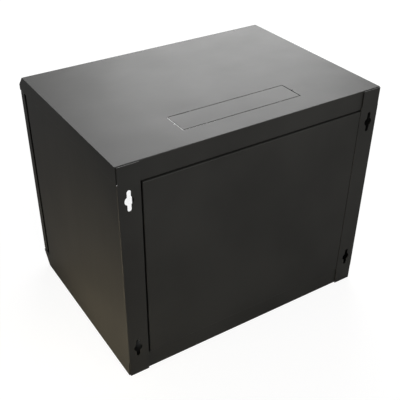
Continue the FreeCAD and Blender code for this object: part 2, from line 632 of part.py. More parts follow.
def rack_rail(label, sign, facing_y, face_y):
    """An angle with three square holes to each rack unit; its face looks to the front or the rear."""
    def x(text):
        return signed(sign, text)

    def y(text):
        return f"({face_y} + ({text}))" if facing_y < 0 else f"({face_y} - ({text}))"

    body = new_body(label)
    outer = RAIL_SIDE
    side = f"({outer} + rail_steel)"
    inner = f"({side} - rail_face)"
    profile = [(inner, "0"), (side, "0"), (side, "rail_leg"), (outer, "rail_leg"), (outer, "rail_steel"),
               (inner, "rail_steel")]
    add_prism(body, "XY_Plane", [(x(a), y(b)) for a, b in profile], RAIL_LOW, RAIL_HIGH)
    round_edges(body, "Z", [(x(side), y("0"))], "rail_steel")
    low, high = sorted((y("0"), y("rail_steel")), key=number)
    sketch = new_sketch(body, "XZ_Plane", high)
    column = x(f"({inner} + rack_edge)")
    for step in ("rack_first", "rack_first + rack_step", "rack_first + 2 * rack_step"):
        middle = f"({RAIL_LOW} + rail_end + {step})"
        draw_rectangle(sketch, f"{column} - rack_hole / 2", f"{column} + rack_hole / 2",
                       f"{middle} - rack_hole / 2", f"{middle} + rack_hole / 2")
    holes = extrude(body, sketch, "Pocket", low, high)
    pattern = body.newObject("PartDesign::LinearPattern", "rack_holes")
    pattern.Originals = [holes]
    pattern.Direction = (next(item for item in body.Origin.OriginFeatures if item.Role == "Z_Axis"), [""])
    pattern.setExpression("Occurrences", bind(RAIL_UNITS))
    pattern.setExpression("Length", bind(f"rack_unit * ({RAIL_UNITS} - 1)"))
    body.Tip = pattern
    doc.recompute()
    bolt_holes = [(y("rail_leg / 2 + rail_steel / 2"), level) for level in BRACKET_LEVELS.values()]
    ends = sorted((x(outer), x(side)), key=number)
    cut_circles(body, "YZ_Plane", bolt_holes, BOLT_HOLE, *ends)
    return body


def web_bolts(name, places, thickness):
    """Bolts through a column's web, heads inwards; each has the stated sheet under its head."""
    inside, outside = f"{COLUMN_EDGE} - {thickness}", f"{COLUMN_EDGE} + steel"
    heads = [((signed(sign, inside), y, z), facing(-sign, 0, 0)) for sign, y, z in places]
    nuts = [((signed(sign, outside), y, z), facing(sign, 0, 0)) for sign, y, z in places]
    group(f"{name}_bolts", bolt_model, heads)
    group(f"{name}_nuts", nut_model, nuts)


def rail_bolts(name, sign, bolt_y):
    """The bolts that clamp one rail to its two brackets."""
    inside, outside = signed(sign, RAIL_SIDE), signed(sign, COLUMN_EDGE)
    levels = BRACKET_LEVELS.values()
    group(f"{name}_bolts", bolt_model, [((inside, bolt_y, z), facing(-sign, 0, 0)) for z in levels])
    group(f"{name}_nuts", nut_model, [((outside, bolt_y, z), facing(sign, 0, 0)) for z in levels])


def seam_bolts():
    """The bolts that join the covers to the side panels, heads inside the case."""
    heads, nuts = [], []
    for x, y in seam_bolt_places():
        heads.append(((x, y, f"{SEAM_LOW} + steel"), facing(0, 0, 1)))
        nuts.append(((x, y, f"{SEAM_LOW} - steel"), facing(0, 0, -1)))
        heads.append(((x, y, f"{SEAM_HIGH} - steel"), facing(0, 0, -1)))
        nuts.append(((x, y, f"{SEAM_HIGH} + steel"), facing(0, 0, 1)))
    group("cover_bolts", bolt_model, heads)
    group("cover_nuts", nut_model, nuts)


# The door.

def door_frame():
    """A tray, open to the rear, with a window, two hinge holes and the lock's hole."""
    body = new_body("door_frame")
    edge = DOOR_EDGE
    add_box(body, f"-{edge}", edge, DOOR_FACE, DOOR_BACK, DOOR_LOW, DOOR_HIGH)
    round_edges(body, "Z", [(f"-{edge}", DOOR_FACE), (edge, DOOR_FACE)], "bend")
    round_edges(body, "X", [(DOOR_FACE, DOOR_LOW), (DOOR_FACE, DOOR_HIGH)], "bend")
    cut_box(body, f"-{edge} + door_steel", f"{edge} - door_steel", DOOR_SHEET, DOOR_BACK,
            f"{DOOR_LOW} + door_steel", f"{DOOR_HIGH} - door_steel")
    cut_box(body, f"-{WINDOW_EDGE}", WINDOW_EDGE, DOOR_FACE, DOOR_SHEET, WINDOW_LOW, WINDOW_HIGH)
    corners = [(x, z) for x in (f"-{WINDOW_EDGE}", WINDOW_EDGE) for z in (WINDOW_LOW, WINDOW_HIGH)]
    round_edges(body, "Y", corners, "window_corner")
    axis = [(HINGE_X, HINGE_Y)]
    cut_circles(body, "XY_Plane", axis, "(pin + pin_play + bush_wall)", DOOR_LOW, f"{DOOR_LOW} + door_steel")
    cut_circles(body, "XY_Plane", axis, "(pin + pin_play)", f"{DOOR_HIGH} - door_steel", DOOR_HIGH)
    cut_circles(body, "XZ_Plane", [(LOCK_X, LOCK_Z)], "(lock_barrel + lock_hole_play)", DOOR_FACE, DOOR_SHEET)
    return body


def door_glass():
    body = new_body("door_glass")
    x = f"({WINDOW_EDGE} + glass_lap)"
    low, high = f"({WINDOW_LOW} - glass_lap)", f"({WINDOW_HIGH} + glass_lap)"
    add_box(body, f"-{x}", x, f"{DOOR_SHEET} + tape", f"{DOOR_SHEET} + tape + glass", low, high)
    round_edges(body, "Y", [(a, b) for a in (f"-{x}", x) for b in (low, high)], "window_corner")
    return body


def glass_tape():
    """A ring of foam tape between the door's sheet and the glass, centred on the overlap."""
    body = new_body("glass_tape")
    far, near = "((glass_lap + tape_width) / 2)", "((glass_lap - tape_width) / 2)"
    depth = (DOOR_SHEET, f"{DOOR_SHEET} + tape")
    add_box(body, f"-({WINDOW_EDGE} + {far})", f"({WINDOW_EDGE} + {far})", *depth,
            f"{WINDOW_LOW} - {far}", f"{WINDOW_HIGH} + {far}")
    cut_box(body, f"-({WINDOW_EDGE} + {near})", f"({WINDOW_EDGE} + {near})", *depth,
            f"{WINDOW_LOW} - {near}", f"{WINDOW_HIGH} + {near}")
    return body


def glass_fixings():
    """Stepped clips on weld studs that hold the glass to the door."""
    clip = doc.addObject("PartDesign::Body", "glass_clip_model")
    t, rise = "glass_clip_steel", "(tape + glass)"
    riser = "(glass_clip_foot - glass_clip_steel / 2)"
    tip = "(glass_clip_foot + glass_clip_reach)"
    profile = [("glass_clip_foot", "0"), ("glass_clip_foot", t), (f"-{riser} + {t}", t),
               (f"-{riser} + {t}", f"{rise} + {t}"), (f"-{tip}", f"{rise} + {t}"), (f"-{tip}", rise),
               (f"-{riser}", rise), (f"-{riser}", "0")]
    add_prism(clip, "XY_Plane", profile, "-glass_clip / 2", "glass_clip / 2")
    cut_circles(clip, "XZ_Plane", [("0", "0")], "(stud + bolt_play)", "0", t)
    x = f"({WINDOW_EDGE} + glass_lap + glass_clip_foot)"
    levels = (f"{WINDOW_LOW} + glass_clip_end", f"{LOCK_Z} - glass_clip_middle",
              f"{LOCK_Z} + glass_clip_middle", f"{WINDOW_HIGH} - glass_clip_end")
    spots = [(signed(sign, x), z) for sign in SIDES.values() for z in levels]
    rotations = [rotation for rotation in (HALF_TURN, NO_TURN) for z in levels]
    group("glass_clips", clip, [((spot_x, DOOR_SHEET, z), rotation)
                                for (spot_x, z), rotation in zip(spots, rotations)])
    back = facing(0, 1, 0)
    stud = cylinder("stud", "stud_length")
    group("glass_clip_studs", stud, [((spot_x, DOOR_SHEET, z), back) for spot_x, z in spots])
    nut = cut(hexagon("stud_nut_flats", "stud_nut"), cylinder("stud + thread_play", "stud_nut"))
    group("glass_clip_nuts", nut, [((spot_x, f"{DOOR_SHEET} + {t}", z), back) for spot_x, z in spots])


def hinges():
    """A sprung pin at the top and a riveted pin at the bottom, on one axis."""
    at = (HINGE_X, HINGE_Y)
    leg_low = "(height - skirt_top - door_end - pin_bracket_drop)"
    bracket = new_body("top_hinge_bracket")
    x0, x1 = f"{HINGE_X} - pin - bush_wall", f"{HINGE_X} - pin - bush_wall + pin_bracket"
    add_box(bracket, x0, x1, DOOR_SHEET, f"{DOOR_SHEET} + door_steel", f"{leg_low} - pin_bracket_tail",
            f"{leg_low} + pin_bracket_tail")
    add_box(bracket, x0, x1, f"{DOOR_SHEET} + door_steel / 2", f"{DOOR_BACK} - door_steel", leg_low,
            f"{leg_low} + door_steel")
    cut_circles(bracket, "XY_Plane", [at], "(pin + pin_play)", leg_low, f"{leg_low} + door_steel")

    pin_top = f"({SEAM_HIGH} + pin_entry)"
    pin_low = f"({pin_top} - pin_length)"
    collar_low = "(height - skirt_top - door_end - door_steel - pin_collar_height)"
    shank = cylinder("pin", "pin_length - pin_nose - pin", (*at, f"{pin_low} + pin"))
    nose = cone("pin", "pin - pin_nose", "pin_nose", (*at, f"{pin_top} - pin_nose"))
    collar = cylinder("pin_collar", "pin_collar_height", (*at, collar_low))
    handle = turn(cylinder("pin", "pin_handle"), facing(1, 0, 0), (*at, f"{pin_low} + pin"))
    elbow = doc.addObject("Part::Sphere", "elbow")
    elbow.setExpression("Radius", bind("pin"))
    move(elbow, (*at, f"{pin_low} + pin"))
    keep(fuse(shank, nose, collar, handle, elbow), "top_hinge_pin")

    keep(hinge_spring(f"{leg_low} + door_steel", collar_low), "top_hinge_spring")
    keep(bush(f"{SEAM_HIGH}", 1), "top_hinge_bush")
    keep(bush(f"({DOOR_LOW} + door_steel)", -1), "bottom_hinge_bush")

    floor = f"({SEAM_LOW} - steel)"
    reach = "(steel + door_end + door_steel + low_pin_length - pin_nose)"
    shank = cylinder("pin", reach, (*at, floor))
    nose = cone("pin", "pin - pin_nose", "pin_nose", (*at, f"{floor} + {reach}"))
    collar = cylinder("pin_collar", "door_end - bush_flange", (*at, SEAM_LOW))
    rivet = cylinder("rivet_head", "rivet_height", (*at, f"{floor} - rivet_height"))
    keep(fuse(shank, nose, collar, rivet), "bottom_hinge_pin")


def hinge_spring(low, high):
    """A compression spring round the top hinge pin, between its bracket and the pin's collar.

    The helix has one edge for each turn, so each turn of the wire is a face of its own.
    """
    helix = doc.addObject("Part::Helix", "helix")
    helix.setExpression("Radius", bind("pin + spring_play + spring_wire"))
    helix.setExpression("Pitch", bind(f"(({high}) - ({low}) - 2 * spring_wire) / spring_turns"))
    helix.setExpression("Height", bind(f"({high}) - ({low}) - 2 * spring_wire"))
    helix.SegmentLength = 1.0
    wire = doc.addObject("Part::Circle", "wire")
    wire.setExpression("Radius", bind("spring_wire"))
    turn(wire, facing(0, 1, 0), ("pin + spring_play + spring_wire", "0", "0"))
    doc.recompute()
    sweep = doc.addObject("Part::Sweep", "spring")
    sweep.Sections = [wire]
    sweep.Spine = (helix, [f"Edge{turn_number}" for turn_number in range(1, len(helix.Shape.Edges) + 1)])
    sweep.Solid = True
    sweep.Frenet = True
    return move(sweep, (HINGE_X, HINGE_Y, f"({low}) + spring_wire"))


def bush(level, side):
    """A flanged nylon bush in a sheet; its flange lies on the inside of the sheet, up or down."""
    sheet = "steel" if side > 0 else "door_steel"
    sleeve, flange = "(pin + pin_play + bush_wall)", "(pin + pin_play + bush_wall + bush_flange_width)"
    sleeve_low = level if side > 0 else f"{level} - {sheet}"
    flange_low = f"{level} + {sheet}" if side > 0 else f"{level} - {sheet} - bush_flange"
    bore_low = sleeve_low if side > 0 else flange_low
    outside = fuse(cylinder(sleeve, sheet, (HINGE_X, HINGE_Y, sleeve_low)),
                   cylinder(flange, "bush_flange", (HINGE_X, HINGE_Y, flange_low)))
    return cut(outside, cylinder("pin + pin_play", f"{sheet} + bush_flange", (HINGE_X, HINGE_Y, bore_low)))


def door_bumpers():
    """Rubber buttons on the right front column, where the edge of the door meets them."""
    button = cylinder("bumper", "door_gap - bumper_slack")
    x = "(width / 2 - bumper_side)"
    levels = (f"{SEAM_LOW} + bumper_end", f"{SEAM_HIGH} - bumper_end")
    group("door_bumpers", button, [((x, COLUMN_FACE, z), facing(0, -1, 0)) for z in levels])


def cam_lock():
    """A barrel lock in the door; its cam hangs down when open and turns behind the front column."""
    at = (LOCK_X, DOOR_FACE, LOCK_Z)
    back = facing(0, 1, 0)
    barrel = turn(cylinder("lock_barrel", f"{CAM_FACE} - bolt_play - {DOOR_FACE}"), back, at)
    rim = turn(cylinder("lock_face", "lock_face_height"), facing(0, -1, 0), at)
    bore = turn(cylinder("plug + plug_play", f"{CAM_FACE} - {DOOR_FACE} + lock_face_height"), back,
                (LOCK_X, f"{DOOR_FACE} - lock_face_height", LOCK_Z))
    keep(cut(fuse(barrel, rim), bore), "lock_body")
    thread = cylinder("lock_barrel + thread_play", "lock_nut_height")
    nut = cut(hexagon("lock_nut_flats", "lock_nut_height"), thread)
    keep(turn(nut, back, (LOCK_X, DOOR_SHEET, LOCK_Z)), "lock_nut")

    cylinder_part = turn(cylinder("plug", f"{CAM_FACE} - {PLUG_FACE}"), back, (LOCK_X, PLUG_FACE, LOCK_Z))
    drive = box(("2 * cam_drive", "cam_steel", "2 * cam_drive"),
                (f"{LOCK_X} - cam_drive", CAM_FACE, f"{LOCK_Z} - cam_drive"))
    tapped = turn(cylinder("screw + thread_play", "screw_length"), facing(0, -1, 0),
                  (LOCK_X, f"{CAM_FACE} + cam_steel", LOCK_Z))
    side, low = f"{LOCK_X} - key_blade / 2", f"{LOCK_Z} - key_blade_width / 2"
    keyway = box(("key_blade + 2 * key_play", "key_blade_depth + key_play", "key_blade_width + 2 * key_play"),
                 (f"{side} - key_play", PLUG_FACE, f"{low} - key_play"))
    keep(cut(cut(fuse(cylinder_part, drive), tapped), keyway), "lock_plug")

    cam = new_body("lock_cam")
    cam_span = (CAM_FACE, f"{CAM_FACE} + cam_steel")
    sketch = new_sketch(cam, "XZ_Plane", cam_span[1])
    draw_slot(sketch, (LOCK_X, f"{LOCK_Z} - cam_reach"), (LOCK_X, LOCK_Z), "cam")
    extrude(cam, sketch, "Pad", *cam_span)
    drive_hole = "(cam_drive + thread_play)"
    cut_box(cam, f"{LOCK_X} - {drive_hole}", f"{LOCK_X} + {drive_hole}", *cam_span,
            f"{LOCK_Z} - {drive_hole}", f"{LOCK_Z} + {drive_hole}")
    head_at = (LOCK_X, f"{CAM_FACE} + cam_steel", LOCK_Z)
    head = turn(cylinder("screw_head", "screw_head_height"), back, head_at)
    thread = turn(cylinder("screw", "screw_length - thread_play"), facing(0, -1, 0), head_at)
    keep(fuse(head, thread), "lock_cam_screw")

    blade = box(("key_blade", "key_blade_depth + key_shank + key_bow / 2", "key_blade_width"),
                (side, f"{PLUG_FACE} - key_shank - key_bow / 2", low))
    bow_y = f"{PLUG_FACE} - key_shank - key_bow"
    bow = turn(cylinder("key_bow", "key_blade"), facing(1, 0, 0), (side, bow_y, LOCK_Z))
    ring = turn(cylinder("key_ring", "key_blade"), facing(1, 0, 0), (side, f"{bow_y} - key_ring", LOCK_Z))
    keep(cut(fuse(blade, bow), ring), "lock_key")


def earth_point():
    """A weld stud with its nut on the floor of the bottom cover."""
    at = ("(-width / 2 + earth_side)", f"({WALL} - earth_rear)")
    keep(cylinder("bolt", "earth_length", (*at, "steel")), "earth_stud")
    group("earth_nut", nut_model, [((*at, "steel"), NO_TURN)])


def m6_bolt():
    """Flanged hex bolt: its seat at the origin, head above, shank below."""
    flange = cylinder("bolt_flange", "bolt_flange_height")
    head = hexagon("bolt_flats", "bolt_head + bolt_flange_height")
    shank = cylinder("bolt", "bolt_length", ("0", "0", "-bolt_length"))
    return fuse(flange, head, shank)


def m6_nut():
    flange = cylinder("bolt_flange", "bolt_flange_height")
    return cut(fuse(flange, hexagon("bolt_flats", "bolt_nut")), cylinder("bolt + thread_play", "bolt_nut"))


fill_sheet()
bolt_model = m6_bolt()
nut_model = m6_nut()
cover("top_cover", "top")
cover("bottom_cover", "bottom")
for side, sign in SIDES.items():
    side_panel(f"{side}_side_panel", sign)
rear_panel()
rear_panel_clips()
seam_bolts()
for level_name, level in BRACKET_LEVELS.items():
    for side, sign in SIDES.items():
        depth_bracket(f"{level_name}_{side}_depth_bracket", sign, level)
web_bolts("depth_bracket", [(sign, y, z) for sign in SIDES.values() for y in BRACKET_BOLTS
                            for z in BRACKET_LEVELS.values()], "bracket_steel")
for end, (facing_y, face_y) in RAIL_FACES.items():
    for side, sign in SIDES.items():
        rack_rail(f"{end}_{side}_rail", sign, facing_y, face_y)
        rail_bolts(f"{end}_{side}_rail", sign, RAIL_BOLT_Y[end])
door_frame()
door_glass()
glass_tape()
glass_fixings()
hinges()
door_bumpers()
cam_lock()
earth_point()
doc.recompute()

for item in doc.Objects:
    if "Invalid" in item.State or "Error" in item.State:
        raise RuntimeError(f"{item.Label} did not compute")
for item in parts:
    if item.Shape.isNull() or not item.Shape.isValid() or not item.Shape.Solids:
        raise RuntimeError(f"{item.Label} is not a sound solid")
os.makedirs("parts", exist_ok=True)
for item in parts:
    item.Shape.exportStep(f"parts/{item.Label}.step")
print(len(parts), "sub-parts written")
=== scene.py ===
"""Wall mount network cabinet: camera, light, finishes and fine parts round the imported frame.

Lengths are in metres. +X is to the right for someone who faces the door, +Y points to the wall and
+Z up.
"""

import json
import math

import bpy
import numpy as np
from mathutils import Matrix, Vector


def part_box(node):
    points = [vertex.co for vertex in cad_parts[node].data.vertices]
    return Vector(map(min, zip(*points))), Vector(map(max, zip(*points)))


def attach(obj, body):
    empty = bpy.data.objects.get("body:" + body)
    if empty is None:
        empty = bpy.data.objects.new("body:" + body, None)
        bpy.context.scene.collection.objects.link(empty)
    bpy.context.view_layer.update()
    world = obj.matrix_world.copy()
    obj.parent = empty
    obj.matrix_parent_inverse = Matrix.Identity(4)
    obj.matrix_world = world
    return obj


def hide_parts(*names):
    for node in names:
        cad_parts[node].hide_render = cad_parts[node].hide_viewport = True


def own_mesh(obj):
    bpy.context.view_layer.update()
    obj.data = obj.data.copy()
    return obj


MM = 0.001
WHITE = (1.0, 1.0, 1.0, 1.0)

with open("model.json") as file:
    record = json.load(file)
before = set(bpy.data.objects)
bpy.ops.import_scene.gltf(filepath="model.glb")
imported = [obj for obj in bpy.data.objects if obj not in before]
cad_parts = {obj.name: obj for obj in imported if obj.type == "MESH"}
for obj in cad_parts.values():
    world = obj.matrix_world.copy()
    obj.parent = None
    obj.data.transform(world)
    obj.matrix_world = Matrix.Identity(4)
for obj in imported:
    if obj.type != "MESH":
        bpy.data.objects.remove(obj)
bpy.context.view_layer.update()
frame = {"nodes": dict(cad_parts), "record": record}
nodes = frame["nodes"]
record = frame["record"]
slot_of = {part["node"]: part["material_slot"] for part in record["subparts"]}
body_of = {node: body for body, group in record["behaviour"]["bodies"].items() for node in group}


# Shader maths.

class Term:
    """A socket of a node tree. Sums, differences and products on it add Math nodes."""

    def __init__(self, owner, socket):
        self.owner = owner
        self.socket = socket

    def math(self, operation, *terms):
        return self.owner.node("ShaderNodeMath", {"operation": operation}, dict(enumerate(terms)))

    def __add__(self, other):
        return self.math("ADD", self, other)

    def __sub__(self, other):
        return self.math("SUBTRACT", self, other)

    def __rsub__(self, other):
        return self.math("SUBTRACT", other, self)

    def __mul__(self, other):
        return self.math("MULTIPLY", self, other)

    __radd__ = __add__
    __rmul__ = __mul__

    def step(self, low, high):
        """0 below low, 1 above high and a smooth rise between them."""
        return self.owner.node("ShaderNodeMapRange", {"interpolation_type": "SMOOTHSTEP"},
                               {"Value": self, "From Min": low, "From Max": high})


class Shading:
    """The node tree of a material or of the world."""

    def __init__(self, owner):
        owner.use_nodes = True
        self.tree = owner.node_tree

    def node(self, kind, settings=None, sockets=None, output=0):
        """Adds a node: its settings first, then the values or links of its sockets."""
        made = self.tree.nodes.new(kind)
        for name, value in (settings or {}).items():
            setattr(made, name, value)
        for name, value in (sockets or {}).items():
            if isinstance(value, Term):
                self.tree.links.new(value.socket, made.inputs[name])
            else:
                made.inputs[name].default_value = value
        return Term(self, made.outputs[output])

    def ray(self, kind):
        """1 for a ray of that kind, such as Camera, and 0 for any other."""
        return self.node("ShaderNodeLightPath", output=f"Is {kind} Ray")

    def along(self, vector, direction):
        """A vector's part along a direction of length 1: their dot product."""
        sockets = {0: vector, 1: direction}
        return self.node("ShaderNodeVectorMath", {"operation": "DOT_PRODUCT"}, sockets, "Value")

    def mix_out(self, share, first, second):
        """Ends the tree with the first shader where share is 0 and the second where it is 1."""
        both = self.node("ShaderNodeMixShader", None, {0: share, 1: first, 2: second})
        end = next(node for node in self.tree.nodes if node.type.startswith("OUTPUT"))
        self.tree.links.new(both.socket, end.inputs["Surface"])


class Finish(Shading):
    """A material: one Principled shader, fed from the object's own coordinates."""

    def __init__(self, name, **even):
        self.material = bpy.data.materials.new(name)
        super().__init__(self.material)
        self.shader = self.tree.nodes["Principled BSDF"]
        self.place = self.node("ShaderNodeTexCoord", output="Object")
        for socket, value in even.items():
            self.shader.inputs[socket.replace("_", " ")].default_value = value

    def feed(self, name, term):
        self.tree.links.new(term.socket, self.shader.inputs[name])

    def stretched(self, scale):
        """The object's coordinates, scaled along each axis."""
        return self.node("ShaderNodeMapping", None, {"Vector": self.place, "Scale": scale})

    def noise(self, scale, detail=2.0, roughness=0.5, place=None):
        sockets = {"Vector": place or self.place, "Scale": scale, "Detail": detail,
                   "Roughness": roughness}
        return self.node("ShaderNodeTexNoise", None, sockets)

    def grains(self, scale):
        """Distance to the nearest of scattered points: specks where it is small."""
        return self.node("ShaderNodeTexVoronoi", None, {"Vector": self.place, "Scale": scale})

    def blend(self, share, low, high):
        """Colour low where share is 0 and colour high where it is 1."""
        def colour(value):
            return value if isinstance(value, Term) else (*value, 1.0)
        sockets = {0: share, 6: colour(low), 7: colour(high)}
        return self.node("ShaderNodeMix", {"data_type": "RGBA"}, sockets, 2)

    def normal(self):
        return self.node("ShaderNodeNewGeometry", output="Normal")

    def edge(self, radius):
        """1 along folds and cut edges, within the radius, and 0 on flat sheet."""
        eased = self.node("ShaderNodeBevel", {"samples": 4}, {"Radius": radius})
        return (1 - self.along(eased, self.normal())).step(0.02, 0.22)

    def bump(self, height, depth, strength):
        """Feeds the normal with a relief of that depth."""
        sockets = {"Strength": strength, "Distance": depth, "Height": height}
        self.feed("Normal", self.node("ShaderNodeBump", None, sockets))


# Finishes.

def powder_coat(name, colour, roughness, dust):
    """Baked powder on steel: orange peel, fine sand, pale edges, soft wipe marks and a little dust. The
    pale edges are wear and also a painted highlight along folds and cut edges.
    """
    coat = Finish(name, IOR=1.5, Specular_IOR_Level=0.35)
    deep = tuple(0.82 * part for part in colour)
    pale = tuple(1.25 * part for part in colour)
    # rubbed is the pale edge colour: edge wear that also serves as a painted highlight along the edges.
    rubbed = (0.075, 0.074, 0.07)
    grey_dust = (0.32, 0.30, 0.27)
    peel = coat.noise(620.0)
    sand = coat.noise(2300.0, 2.0, 0.6)
    cloud = coat.noise(4.5, 3.0)
    wipe = coat.noise(9.0, 4.0, 0.6, coat.stretched((1.0, 1.6, 0.35)))
    edge = coat.edge(1.2 * MM)
    speck = 1 - coat.grains(150.0).step(0.02, 0.09)
    # Pale patches along folds and cut edges: wear, and also a painted highlight of the edges.
    worn_and_highlit_edges = edge * coat.noise(34.0, 3.0).step(0.35, 0.75)
    level = coat.along(coat.normal(), (0.0, 0.0, 1.0)).step(0.6, 0.98)
    dusty = level * dust * (0.35 + coat.noise(60.0, 5.0, 0.7) * 0.9) + speck * level * dust
    base = coat.blend(worn_and_highlit_edges * 0.55, coat.blend(cloud.step(0.3, 0.7), deep, pale), rubbed)
    coat.feed("Base Color", coat.blend(dusty, base, grey_dust))
    uneven = (wipe - 0.5) * 0.09 + (cloud - 0.5) * 0.03
    coat.feed("Roughness", roughness + uneven - edge * 0.08 + dusty * 0.6)
    coat.bump(peel * 0.7 + sand * 0.3, 0.05 * MM, 0.5)
    return coat.material


def zinc_plate(name):
    """Bright passivated zinc: faint blue and straw clouds, stains and bright rubbed edges."""
    zinc = Finish(name, Metallic=1.0)
    blue, straw = (0.50, 0.53, 0.57), (0.62, 0.60, 0.52)
    stained, rubbed = (0.36, 0.35, 0.33), (0.75, 0.76, 0.77)
    cloud = zinc.noise(90.0, 3.0)
    grain = zinc.noise(1400.0)
    stain = zinc.noise(260.0, 4.0, 0.7).step(0.55, 0.8)
    hue = zinc.blend(stain * 0.35, zinc.blend(cloud.step(0.35, 0.65), blue, straw), stained)
    zinc.feed("Base Color", zinc.blend(zinc.edge(0.5 * MM) * 0.4, hue, rubbed))
    zinc.feed("Roughness", 0.24 + grain * 0.16 + stain * 0.2)
    zinc.bump(grain, 0.02 * MM, 0.4)
    return zinc.material


def spring_wire(name):
    """Drawn steel wire with die lines and a trace of oil."""
    wire = Finish(name, Metallic=1.0)
    oiled, dry = (0.36, 0.35, 0.34), (0.56, 0.55, 0.53)
    lines = wire.noise(500.0, 3.0, 0.6, wire.stretched((1.0, 1.0, 9.0)))
    wire.feed("Base Color", wire.blend(wire.noise(160.0).step(0.4, 0.7), oiled, dry))
    wire.feed("Roughness", 0.18 + lines * 0.25)
    wire.bump(lines, 0.01 * MM, 0.5)
    return wire.material


def nickel_plate(name):
    """Polished nickel over brass: a warm haze, brass along the edges and small handling streaks."""
    nickel = Finish(name, Metallic=1.0)
    dull, bright, brass = (0.62, 0.60, 0.56), (0.73, 0.71, 0.67), (0.60, 0.52, 0.36)
    haze = nickel.noise(320.0, 3.0)
    marks = nickel.noise(700.0, 3.0, 0.6, nickel.stretched((1.0, 0.25, 3.0))).step(0.6, 0.78)
    hue = nickel.blend(haze.step(0.3, 0.7), dull, bright)
    nickel.feed("Base Color", nickel.blend(nickel.edge(0.4 * MM) * 0.5, hue, brass))
    nickel.feed("Roughness", 0.12 + haze * 0.1 + marks * 0.18)
    nickel.bump(marks + haze * 0.3, 0.008 * MM, 0.4)
    return nickel.material


def float_glass(name):
    """Toughened glass: a Fresnel mirror over a clear body, with faint wipe marks.

    The cut edge is more mirror than body, and dark green. The mirror is left out where a ray leaves the
    glass: the Fresnel node gives total reflection there, which is wrong for a ray that goes straight on.
    """
    glass = Finish(name, Metallic=1.0)
    polished, dark_green, clear = (0.96, 0.98, 0.97), (0.225, 0.30, 0.26), (0.994, 0.997, 0.995)
    wipe = glass.noise(7.0, 5.0, 0.65, glass.stretched((1.0, 1.0, 2.6))).step(0.42, 0.8)
    rim = glass.edge(1.6 * MM)
    glass.feed("Base Color", glass.blend(rim, polished, dark_green))
    glass.feed("Roughness", 0.03 + wipe * 0.08 + rim * 0.15)
    body = glass.node("ShaderNodeBsdfTransparent", None, {"Color": (*clear, 1.0)})
    entry = 1 - glass.node("ShaderNodeNewGeometry", output="Backfacing")
    fresnel = glass.node("ShaderNodeFresnel", None, {"IOR": 1.52})
    mirror = fresnel * entry * 1.5 + wipe * 0.012 + rim * 0.6
    glass.mix_out(mirror, body, Term(glass, glass.shader.outputs[0]))
    return glass.material


def foam(name):
    """Closed-cell foam tape: fine pits in a matt black face, the pits darkened with painted shade."""
    tape = Finish(name, IOR=1.45)
    pit, face = (0.012, 0.012, 0.013), (0.04, 0.04, 0.042)
    cells = tape.grains(1500.0)
    # The pits take the darker colour: painted shade in the hollows of the bump.
    tape.feed("Base Color", tape.blend(cells.step(0.1, 0.6), pit, face))
    tape.feed("Roughness", 0.82 + cells * 0.15)
    tape.bump(cells, 0.12 * MM, 0.8)
    return tape.material


def rubber(name):
    """Moulded black rubber with a grey bloom and a fine grain."""
    gum = Finish(name, IOR=1.5, Specular_IOR_Level=0.35)
    black, grey = (0.012, 0.012, 0.012), (0.05, 0.049, 0.047)
    bloom = gum.noise(240.0, 4.0, 0.6)
    gum.feed("Base Color", gum.blend(bloom.step(0.4, 0.8), black, grey))
    gum.feed("Roughness", 0.6 + bloom * 0.3)
    gum.bump(gum.noise(1700.0), 0.03 * MM, 0.6)
    return gum.material


def natural_nylon(name):
    """Natural nylon: milky, with mould flow and a fine grain."""
    bush = Finish(name, IOR=1.53, Subsurface_Weight=0.15, Subsurface_Scale=2.0 * MM)
    straw, milk = (0.66, 0.64, 0.58), (0.80, 0.78, 0.73)
    flow = bush.noise(180.0, 3.0)
    bush.feed("Base Color", bush.blend(flow.step(0.3, 0.7), straw, milk))
    bush.feed("Roughness", 0.36 + flow * 0.2)
    bush.bump(bush.noise(900.0), 0.02 * MM, 0.4)
    return bush.material


FINISHES = {
    "black_powder_coat": powder_coat("black_powder_coat", (0.022, 0.0217, 0.02), 0.46, 0.02),
    "rack_steel": powder_coat("rack_steel", (0.018, 0.018, 0.0185), 0.36, 0.03),
    "zinc_steel": zinc_plate("zinc_steel"),
    "spring_steel": spring_wire("spring_steel"),
    "lock_nickel": nickel_plate("lock_nickel"),
    "clear_glass": float_glass("clear_glass"),
    "foam_tape": foam("foam_tape"),
    "black_rubber": rubber("black_rubber"),
    "nylon": natural_nylon("nylon"),
}


def paint(piece, slot):
    piece.data.materials.clear()
    piece.data.materials.append(FINISHES[slot])


def dress(node, piece):
    """The piece stands for the CAD node: same body, same finish."""
    paint(piece, slot_of[node])
    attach(piece, body_of[node])
    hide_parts(node)


# Surfaces.

POINTS_ROUND = 24


def surface(name, points, faces, crease=30.0):
    """A mesh object from points and faces, smooth but for edges over the crease angle in degrees."""
    mesh = bpy.data.meshes.new(name)
    mesh.from_pydata(np.asarray(points, float).tolist(), [], [list(face) for face in faces])
    mesh.update()
    mesh.polygons.foreach_set("use_smooth", np.ones(len(mesh.polygons), bool))
    mesh.set_sharp_from_angle(angle=math.radians(crease))
    piece = bpy.data.objects.new(name, mesh)
    bpy.context.scene.collection.objects.link(piece)
    return piece


def around(count=POINTS_ROUND):
    """Angles of one full turn, without the last, which is the first again."""
    return np.linspace(0.0, 2.0 * np.pi, count, endpoint=False)


def rings(radius, height, count=POINTS_ROUND):
    """Rings about Z: (r cos u, r sin u, h) at angle u, where r and h are numbers or arrays over u."""
    u = around(count)
    made = []
    for r, h in zip(radius, height):
        r, h = np.broadcast_to(r, u.shape), np.broadcast_to(h, u.shape)
        made.append(np.stack([r * np.cos(u), r * np.sin(u), h], axis=-1))
    return np.array(made)


